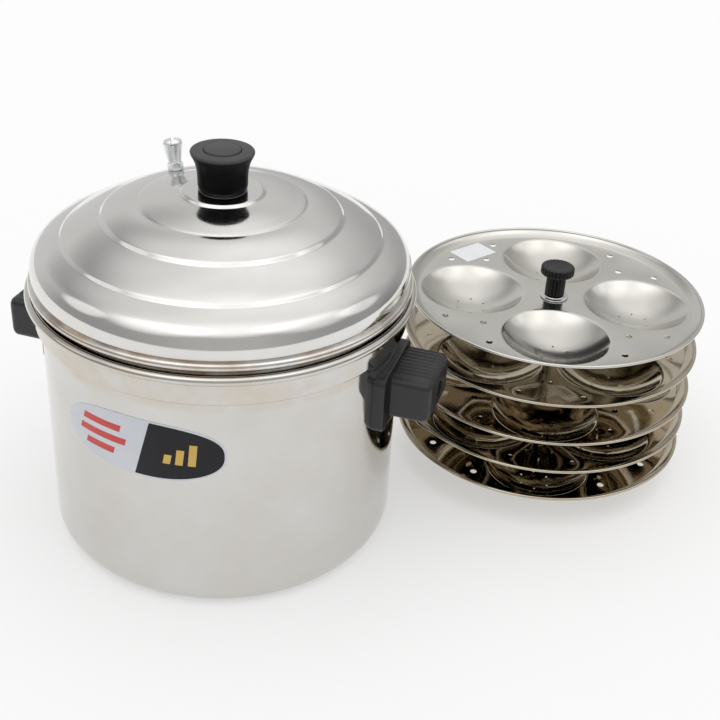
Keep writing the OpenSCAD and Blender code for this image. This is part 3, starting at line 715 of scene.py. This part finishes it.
def curved_plate(outline, r_in, r_out, pitch):
    """A plate cut to an outline of (sideways, height) points, bent round the pot's axis, facing +X."""
    walls = loft([bent(r_in, outline), bent(r_out, outline)], cap_start=False, cap_end=False)
    flat, faces = filled(outline, 0, pitch, pitch)
    return joined(walls, (bent(r_out, flat), faces), (bent(r_in, flat), faces))


collar_in = POT_R + SNUG
NECK_LENGTH, GROOVE_R, GROOVE_DEPTH, GROOVE_PITCH, GROOVES = 1.0, 1.0, 0.75, 3.7, 9
SCREW_R, SCREW_HEAD_R, SCREW_SEAT = 2.9, 5.15, GRIP_REACH - 7


def grip_section(x, shrink, groove):
    """One loop of the grip at distance x, shrunk towards its middle, with the grooves sunk in its top."""
    loop = []
    back_edge = GRIP_W / 2 - 4
    for y, z in divided(rounded_rectangle(GRIP_W, GRIP_H, 4), 0.22):
        sink = 0.0
        if z > GRIP_H / 2 - 0.4:
            for i in range(GROOVES):
                off = abs(y - (back_edge - i * GROOVE_PITCH))
                if off < GROOVE_R:
                    sink = max(sink, groove * math.sqrt(1 - (off / GROOVE_R) ** 2))
        ky, kz = (GRIP_W - 2 * shrink) / GRIP_W, (GRIP_H - 2 * shrink) / GRIP_H
        loop.append((x, y * ky, z * kz - sink + GRIP_Z))
    return loop


def handle_grip():
    """A closed block with rounded ends, grooved on top. make_handle bores the screw's recess in its outer
    end.
    """
    x0, x1, edge, end = COLLAR_REACH + NECK_LENGTH, GRIP_REACH, 1.0, 4.6
    loops = []
    for a in range(0, 91, 18):
        s, c = math.sin(math.radians(a)), math.cos(math.radians(a))
        loops.append(grip_section(x0 + edge * (1 - c), edge * (1 - s), GROOVE_DEPTH))
    for k in range(1, 24):
        loops.append(grip_section(x0 + edge + (x1 - x0 - edge - end) * k / 24, 0, GROOVE_DEPTH))
    for a in range(0, 91, 9):
        s, c = math.sin(math.radians(a)), math.cos(math.radians(a))
        loops.append(grip_section(x1 - end + end * s, end * (1 - c), GROOVE_DEPTH * c))
    return loft(loops)


def handle_collar():
    """A block whose back follows the pot's wall, with a flat front and rounded front edges."""
    outline = [(y, z + COLLAR_Z) for y, z in divided(rounded_rectangle(COLLAR_W, COLLAR_H, 5), 1.5)]

    loops = [bent(collar_in, outline)]
    for a in (0, 15, 30, 45, 60, 75, 90):
        d = 1.0 - math.cos(math.radians(a))
        x = COLLAR_REACH - 1.0 + math.sin(math.radians(a))
        loops.append([(x, y, z) for y, z in (inset(outline, d) if d else outline)])
    flat, faces = filled(outline, 1, 2.0, 4.0)
    return joined(loft(loops, cap_start=False), (bent(collar_in, flat), faces))


def handle_neck():
    """The narrow piece between the collar and the grip, reaching into both."""
    x0, x1 = collar_in + 2, COLLAR_REACH + NECK_LENGTH + 2
    outline = rounded_rectangle(GRIP_W - 3, GRIP_H - 3, 4)
    return loft([[(x, y, z + GRIP_Z) for y, z in outline] for x in (x0, x1)])


def tube(x0, x1, r):
    """A cylinder along the screw's axis."""
    return loft([[(x, y, z + GRIP_Z) for y, z in circle(0, 0, r, 48)] for x in (x0, x1)])


BORES = (
    (90, POT_R + 1.45, 9.2), (90, POT_R + 11.2, 5.2),  # round the bracket and its boss
    (100, 145, SCREW_R), (SCREW_SEAT, 145, SCREW_HEAD_R),  # for the screw and its head
)


def make_handle(name, node, turn, mirrored):
    """A whole handle, turned to its place on the pot."""
    piece = raw_object(name, handle_grip())
    for part in (handle_neck(), handle_collar()):
        combine(piece, part, "UNION")
    for bore in BORES:
        combine(piece, tube(*bore), "DIFFERENCE")
    if mirrored:
        piece.data.transform(Matrix.Scale(-1, 4, (0, 1, 0)))
        piece.data.flip_normals()
    piece.data.transform(Matrix.Rotation(math.radians(turn), 4, "Z"))
    finish_piece(piece, "pot", handle_black, 30)
    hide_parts(node)


make_handle("grip_right", "handle_right", HANDLE_ANGLE, False)
make_handle("grip_left", "handle_left", HANDLE_ANGLE + 180, True)


# ---- label: a plain printed film, in a layout of its own ----

INK, EDGE, LABEL_POWER = 0.05, 1.1, 2.5
DIVIDER_LOW, DIVIDER_HIGH = -2.0, 8.0


def oval(w, h, start=-180, end=180, count=121):
    """Part of a full oval, between a rectangle and an ellipse. The angles run from the right end."""
    pts = []
    for a in np.radians(np.linspace(start, end, count)):
        c, s = math.cos(a), math.sin(a)
        pts.append((w / 2 * math.copysign(abs(c) ** (2 / LABEL_POWER), c),
                    h / 2 * math.copysign(abs(s) ** (2 / LABEL_POWER), s)))
    return pts


def oval_angle(w, y):
    """Angle at which the oval's upper edge has passed y."""
    c = abs(2 * y / w) ** (LABEL_POWER / 2)
    return math.degrees(math.acos(math.copysign(c, y)))


def label_patch(name, outline, lift, thick, mat):
    """A film or a printed field on the pot's wall, at a height of lift over it."""
    placed = [(y, z + LABEL_Z) for y, z in divided(outline, 2.0)]
    shape = curved_plate(placed, POT_R + lift, POT_R + lift + thick, 2.0)
    spot = Matrix.Rotation(math.radians(LABEL_ANGLE), 4, "Z")
    return build(name, moved(shape, spot), "pot", mat, weld=0.002)


def slanted_bar(y, z, w, h, slant):
    """A bar from its lower left corner, leaning to the right by slant."""
    return [(y, z), (y + w, z), (y + w + slant, z + h), (y + slant, z + h)]


film = label_patch("label_film", oval(LABEL_W, LABEL_H)[:-1], SNUG / 2, 0.2, print_silver)
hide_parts("body_label")
print_lift = SNUG / 2 + 0.2 + 0.01
field_w, field_h = LABEL_W - 2 * EDGE, LABEL_H - 2 * EDGE
dark_field = oval(field_w, field_h, -oval_angle(field_w, DIVIDER_LOW), oval_angle(field_w, DIVIDER_HIGH), 81)
label_patch("label_field", dark_field, print_lift, INK, print_black)
for i, (y, z, w) in enumerate(((-37, 6.2, 26), (-40, -1.8, 32), (-36, -9.8, 20))):
    label_patch(f"label_bar_{i + 1}", slanted_bar(y, z, w, 4.4, 1.3), print_lift, INK, print_red)
mark_lift = print_lift + INK + 0.01
for i in range(3):
    mark = slanted_bar(15 + 7 * i, -7, 4.2, 6 + 4 * i, 1.2)
    label_patch(f"label_mark_{i + 1}", mark, mark_lift, INK, print_gold)


# ---- plates ----

bowl_r = (MOULD_R ** 2 + MOULD_DEPTH ** 2) / (2 * MOULD_DEPTH) - 3
bowl_z = bowl_r + PLATE_SHEET / 2 - MOULD_DEPTH
mouth_turn = math.degrees(math.asin(MOULD_R / (bowl_r + 3)))
bowl_mid = bowl_r + PLATE_SHEET / 2
HEM = 0.7
lip_out = PLATE_R - 2 * HEM - PLATE_SHEET / 2
LIP_W, LIP_H = 6.0, 4.2
BOTTOM_R, PINHOLE_R, PINHOLE_RING = 13.0, 0.7, 10
STEAM_R, ROD_BORE_R = 2.2, 3.08
RIM_COUNT, MOUTH_COUNT, CENTRE_COUNT = 256, 112, 48


def bowl_height(r):
    """Height of a mould's middle surface at r from its axis."""
    return bowl_z - math.sqrt(bowl_mid ** 2 - r * r)


def one_mould():
    """The wall and bottom of a mould about its own axis, as an open surface."""
    line = arc(MOULD_R, PLATE_SHEET / 2 - 3, 2.7, 90, 90 + mouth_turn, 8)
    start = -90 + mouth_turn
    stop = -math.degrees(math.acos(BOTTOM_R / bowl_mid))
    line += arc(0, bowl_z, bowl_mid, start, stop, 16)[1:]
    wall = lathe(line, MOUTH_COUNT, closed=False)
    centres = arc(0, 0, PINHOLE_RING, 30, 330, 5)
    pinholes = [circle(x, y, PINHOLE_R, 14) for x, y in centres]
    points = [(0.0, 0.0)]
    for r, count in ((2.5, 12), (5, 20), (7.6, 30), (12.2, 60)):
        points += circle(0, 0, r, count)

    def on_bottom(x, y):
        return (math.hypot(x, y) < BOTTOM_R
                and all(math.dist((x, y), c) > PINHOLE_R - 0.01 for c in centres))

    flat, faces = flat_triangles([circle(0, 0, BOTTOM_R, MOUTH_COUNT)] + pinholes, points, on_bottom)
    bottom = ([(x, y, bowl_height(math.hypot(x, y))) for x, y in flat], faces)
    return joined(wall, bottom)


def plate_surface():
    """The middle surface of a plate whose first mould lies along +X."""
    moulds = [(MOULD_PLACE * math.cos(math.radians(90 * k)), MOULD_PLACE * math.sin(math.radians(90 * k)))
              for k in range(4)]
    holes = []
    for k in range(4):
        for r, a in ((66, 0), (83, -14.3), (83, 14.3)):
            way = math.radians(90 * k + 45 + a)
            holes.append((r * math.cos(way), r * math.sin(way)))
    flat_r = lip_out - LIP_W
    loops = [circle(0, 0, flat_r, RIM_COUNT), circle(0, 0, ROD_BORE_R, CENTRE_COUNT)]
    loops += [circle(x, y, MOULD_R, MOUTH_COUNT) for x, y in moulds]
    loops += [circle(x, y, STEAM_R, 28) for x, y in holes]

    def on_flat(x, y):
        return (ROD_BORE_R * 0.999 < math.hypot(x, y) < flat_r
                and all(math.dist((x, y), m) > MOULD_R * 0.9995 for m in moulds)
                and all(math.dist((x, y), h) > STEAM_R * 0.995 for h in holes))

    flat, faces = flat_triangles(loops, [], on_flat)
    disc = ([(x, y, 0.0) for x, y in flat], faces)
    lip_line = thin_out(np.array(
        [(flat_r, 0.0), (flat_r + 0.8, 0.25)]
        + [(lip_out - 0.6, LIP_H - 0.9), (lip_out - 0.1, LIP_H - 0.2)]
        + arc(lip_out + HEM, LIP_H, HEM, 160, -90, 16)), 0.001)
    lip = lathe(lip_line, RIM_COUNT, closed=False)
    mould = one_mould()
    spots = [moved(mould, Matrix.Translation((x, y, 0))) for x, y in moulds]
    return joined(disc, lip, *spots)


surface = plate_surface()
PLATE_BODIES = ("plate_one", "plate_two", "plate_three", "plate_four", "plate_five")
for i, body in enumerate(PLATE_BODIES):
    node = f"plate_{i + 1}"
    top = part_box(node)[1].z / MM
    spot = (Matrix.Translation((RACK[0], RACK[1], top - LIP_H - HEM - PLATE_SHEET / 2))
            @ Matrix.Rotation(math.radians(MOULD_ANGLE + (i % 2) * 45), 4, "Z"))
    # The plates under the top one get the darker copy: painted shade.
    steel = plate_steel_painted_shade if i else plate_steel
    piece = build(f"idli_{node}", moved(surface, spot), body, steel, 40, 0.01, PLATE_SHEET)
    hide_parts(node)


# ---- rod, foot, spacers, clamp ----

def turned(name, node, outline, body, mat, base_z, steps=96, width=0.12):
    """A piece turned about the rod's axis, in place of a node."""
    piece = build(name, lathe(soften(outline, width), steps, RACK, base_z), body, mat)
    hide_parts(node)


for i in range(4):
    low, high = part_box(f"spacer_{i + 1}")
    h = (high.z - low.z) / MM
    outline = [(ROD_BORE_R, h / 2), (ROD_BORE_R, 0.2), (3.3, 0), (5.2, 0), (5.5, 0.3), (5.5, h - 0.3),
               (5.2, h), (3.3, h), (ROD_BORE_R, h - 0.2), (ROD_BORE_R, h / 2)]
    turned(f"tube_{i + 1}", f"spacer_{i + 1}", outline, "rack", rack_steel, low.z / MM)

low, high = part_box("rack_foot")
foot_h = (high.z - low.z) / MM
outline = [(0, 0), (29, 0), (29.9, 0.5), (29.9, 1.9), (29, 2.5), (12, 2.6), (9, 2.9), (7.4, 4.4), (7, 6),
           (7, foot_h - 0.4), (6.6, foot_h), (3.1, foot_h), (3.1, 1), (0, 1)]
turned("foot_disc", "rack_foot", outline, "rack", rack_steel, 0, 160, 0.25)

low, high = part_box("clamp_washer")
outline = [(ROD_BORE_R, 0.9), (ROD_BORE_R, 0.1), (9.3, 0), (9.5, 0.4), (9.3, 0.85), (7.7, 1.0), (7.5, 1.5),
           (7.2, 1.8), (3.3, 1.8), (ROD_BORE_R, 1.6), (ROD_BORE_R, 0.9)]
turned("clamp_ring", "clamp_washer", outline, "washer", fastener_steel, low.z / MM)


def ribbed_loops(r, depth, count, stations):
    """Loops with ribs. Stations are (height, what is added to the radius, share of the ribs' depth)."""
    loops = []
    n = count * 10
    for z, grow, deep in stations:
        loop = []
        for k in range(n):
            a = 2 * math.pi * k / n
            dip = max(0.0, math.cos(count * a)) ** 0.8
            rr = (r + grow) - depth * deep * dip
            loop.append((RACK[0] + rr * math.cos(a), RACK[1] + rr * math.sin(a), z))
        loops.append(loop)
    return loops


stem_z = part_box("rack_knob")[0].z / MM
STEM_R, STEM_H, HEAD_R, HEAD_H = 6.5, 15.0, 11.15, 6.0
stem = loft(ribbed_loops(STEM_R, 0.75, 18, (
    (stem_z, -0.5, 0.6), (stem_z + 0.4, 0, 1), (stem_z + STEM_H + 0.6, 0, 1))))
head = loft(ribbed_loops(HEAD_R, 0.75, 26, (
    (stem_z + STEM_H, -1.3, 0.4), (stem_z + STEM_H + 0.2, -0.5, 0.9), (stem_z + STEM_H + 0.7, 0, 1),
    (stem_z + STEM_H + HEAD_H - 1.3, 0, 1), (stem_z + STEM_H + HEAD_H - 0.7, -0.4, 0.8),
    (stem_z + STEM_H + HEAD_H - 0.4, -1.4, 0.2), (stem_z + STEM_H + HEAD_H - 0.25, -2.6, 0),
    (stem_z + STEM_H + HEAD_H - 0.6, -3.4, 0), (stem_z + STEM_H + HEAD_H - 0.45, -8.0, 0))))
rack_knob = raw_object("rack_knob_body", head)
combine(rack_knob, stem, "UNION")
combine(rack_knob, lathe([(0, 0), (4.1, 0), (4.1, 12.7), (0, 12.7)], 64, RACK, stem_z - 1), "DIFFERENCE")
finish_piece(rack_knob, "knob", rack_black, 34)
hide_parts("rack_knob")


# ---- the nodes that stay as they are ----

for node, mat in (
    ("rack_rod", rack_steel), ("knob_insert", insert_brass), ("plate_sticker", sticker_paper),
    ("handle_bracket_right", pot_steel), ("handle_bracket_left", pot_steel),
    ("handle_screw_right", fastener_steel), ("handle_screw_left", fastener_steel),
    ("knob_screw", fastener_steel), ("knob_washer", fastener_steel), ("vent_nut", vent_metal),
):
    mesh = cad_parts[node].data
    mesh.materials.clear()
    mesh.materials.append(mat)


# ---- floor, studio and camera ----

def floor_white(name, albedo, seen):
    """Matt white. What the camera and shiny pieces see of it gets a little more, so that it ends up white."""
    mat, nodes, links, shader = material(name)
    shader.inputs["Base Color"].default_value = (albedo, albedo, albedo, 1)
    shader.inputs["Roughness"].default_value = 0.8
    shader.inputs["Specular IOR Level"].default_value = 0.0
    path = nodes.new("ShaderNodeLightPath").outputs
    looked_at = path["Is Camera Ray"]
    for kind in ("Is Glossy Ray", "Is Transmission Ray"):
        looked_at = maths(nodes, links, "MAXIMUM", looked_at, path[kind])
    shader.inputs["Emission Color"].default_value = (1, 1, 1, 1)
    links.new(maths(nodes, links, "MULTIPLY", looked_at, seen), shader.inputs["Emission Strength"])
    return mat


# A round white table top. Its edge stays out of the camera's view
FLOOR_R, FLOOR_PLACE = 1.9, (0.1, 1.0)
floor = bpy.data.objects.new("floor", bpy.data.meshes.new("floor"))
rim = [(FLOOR_PLACE[0] + x, FLOOR_PLACE[1] + y, 0) for x, y in circle(0, 0, FLOOR_R, 128)]
floor.data.from_pydata(rim, [], [tuple(range(len(rim)))])
floor.data.materials.append(floor_white("floor", 0.55, 0.42))
bpy.context.scene.collection.objects.link(floor)

# The studio. Shiny pieces see a grey room, paler behind the object, under a wide soft light. Each spot is
# azimuth, elevation, outer and inner half width in degrees, and how much it adds or takes away
WHITE, ROOM_FRONT, ROOM_SIDE, ROOM_BACK, SOFT = 0.955, 0.66, 0.46, 0.86, 0.82
OVERHEAD, OVERHEAD_FROM, OVERHEAD_TO = 0.62, 34, 64
SPOTS = (
    (-52, 52, 30, 10, 0.7), (66, 48, 30, 10, 0.6), (5, 66, 34, 8, 0.4),
    (-96, 31, 17, 9, 0.7), (94, 31, 17, 9, 0.6), (-142, 48, 30, 8, -0.3), (140, -12, 50, 20, -0.3),
)


def sky_way(azimuth, elevation):
    """Direction to a place in the sky. Azimuth is counted from the camera's side, to the right."""
    a, e = math.radians(azimuth), math.radians(elevation)
    return Vector((math.sin(a) * math.cos(e), -math.cos(a) * math.cos(e), math.sin(e)))


def studio_world():
    """White to the camera, soft light on matt pieces, and the room in the mirror of shiny ones."""
    world = bpy.data.worlds.new("studio")
    bpy.context.scene.world = world
    world.use_nodes = True
    nodes, links = world.node_tree.nodes, world.node_tree.links
    nodes.clear()

    def work(operation, a, b):
        return maths(nodes, links, operation, a, b)

    def backdrop(strength):
        node = nodes.new("ShaderNodeBackground")
        if isinstance(strength, float):
            node.inputs["Strength"].default_value = strength
        else:
            links.new(strength, node.inputs["Strength"])
        return node.outputs[0]

    def either(a, b, pick_b):
        node = nodes.new("ShaderNodeMixShader")
        links.new(pick_b, node.inputs[0])
        links.new(a, node.inputs[1])
        links.new(b, node.inputs[2])
        return node.outputs[0]

    path = nodes.new("ShaderNodeLightPath").outputs
    sky = nodes.new("ShaderNodeTexCoord").outputs["Generated"]
    way = axes(nodes, links, sky)
    behind = spread(nodes, links, way["Y"], 0, 1, 0.1, 0.8, "SMOOTHSTEP")
    sideways = work("ABSOLUTE", way["X"], 0)
    room = spread(nodes, links, sideways, ROOM_FRONT, ROOM_SIDE, 0.3, 0.95)
    room = work("MULTIPLY", room, work("SUBTRACT", 1.0, behind))
    seen = work("ADD", room, work("MULTIPLY", behind, ROOM_BACK))
    low, high = (math.sin(math.radians(e)) for e in (OVERHEAD_FROM, OVERHEAD_TO))
    seen = work("ADD", seen, spread(nodes, links, way["Z"], 0, OVERHEAD, low, high, "SMOOTHSTEP"))
    for azimuth, elevation, outer, inner, gain in SPOTS:
        near = vector_maths(nodes, links, "DOT_PRODUCT", sky, sky_way(azimuth, elevation))
        low, high = math.cos(math.radians(outer)), math.cos(math.radians(inner))
        seen = work("ADD", seen, spread(nodes, links, near, 0, gain, low, high, "SMOOTHSTEP"))
    mirrored = work("MAXIMUM", path["Is Glossy Ray"], path["Is Transmission Ray"])
    lit = either(backdrop(SOFT), backdrop(seen), mirrored)
    out = nodes.new("ShaderNodeOutputWorld")
    links.new(either(lit, backdrop(WHITE), path["Is Camera Ray"]), out.inputs[0])


studio_world()


def far_lamp(name, azimuth, elevation, width, radiance):
    """A distant soft light: a disc in the sky, width degrees across. The studio has its mirror image."""
    light = bpy.data.lights.new(name, "SUN")
    light.angle = math.radians(width)
    light.energy = radiance * math.pi * math.tan(math.radians(width / 2)) ** 2
    obj = bpy.data.objects.new(name, light)
    obj.rotation_euler = sky_way(azimuth, elevation).to_track_quat("Z", "Y").to_euler()
    obj.visible_glossy = False
    bpy.context.scene.collection.objects.link(obj)


far_lamp("ceiling", 0, 88, 62, 0.3)
far_lamp("ceiling_edge", 0, 86, 92, 0.22)
far_lamp("key", -55, 52, 26, 0.32)
far_lamp("fill", 75, 47, 26, 0.2)

CAMERA_PLACE = (0, -0.6427, 0.4948)
CAMERA_RIGHT = (0.99362, -0.10100, 0.05019)
CAMERA_UP = (0.00944, 0.51799, 0.85533)
CAMERA_FORWARD = (0.11239, 0.84940, -0.51564)
LENS = 59.9
camera = bpy.data.objects.new("camera", bpy.data.cameras.new("camera"))
camera.data.lens = LENS
camera.data.sensor_width = 36
camera.data.sensor_fit = "HORIZONTAL"
camera.data.clip_start = 0.01
back = [-c for c in CAMERA_FORWARD]
camera.matrix_world = Matrix((
    (CAMERA_RIGHT[0], CAMERA_UP[0], back[0], CAMERA_PLACE[0]),
    (CAMERA_RIGHT[1], CAMERA_UP[1], back[1], CAMERA_PLACE[1]),
    (CAMERA_RIGHT[2], CAMERA_UP[2], back[2], CAMERA_PLACE[2]),
    (0, 0, 0, 1),
))
bpy.context.scene.collection.objects.link(camera)
bpy.context.scene.camera = camera
bpy.context.scene.view_settings.view_transform = "Standard"
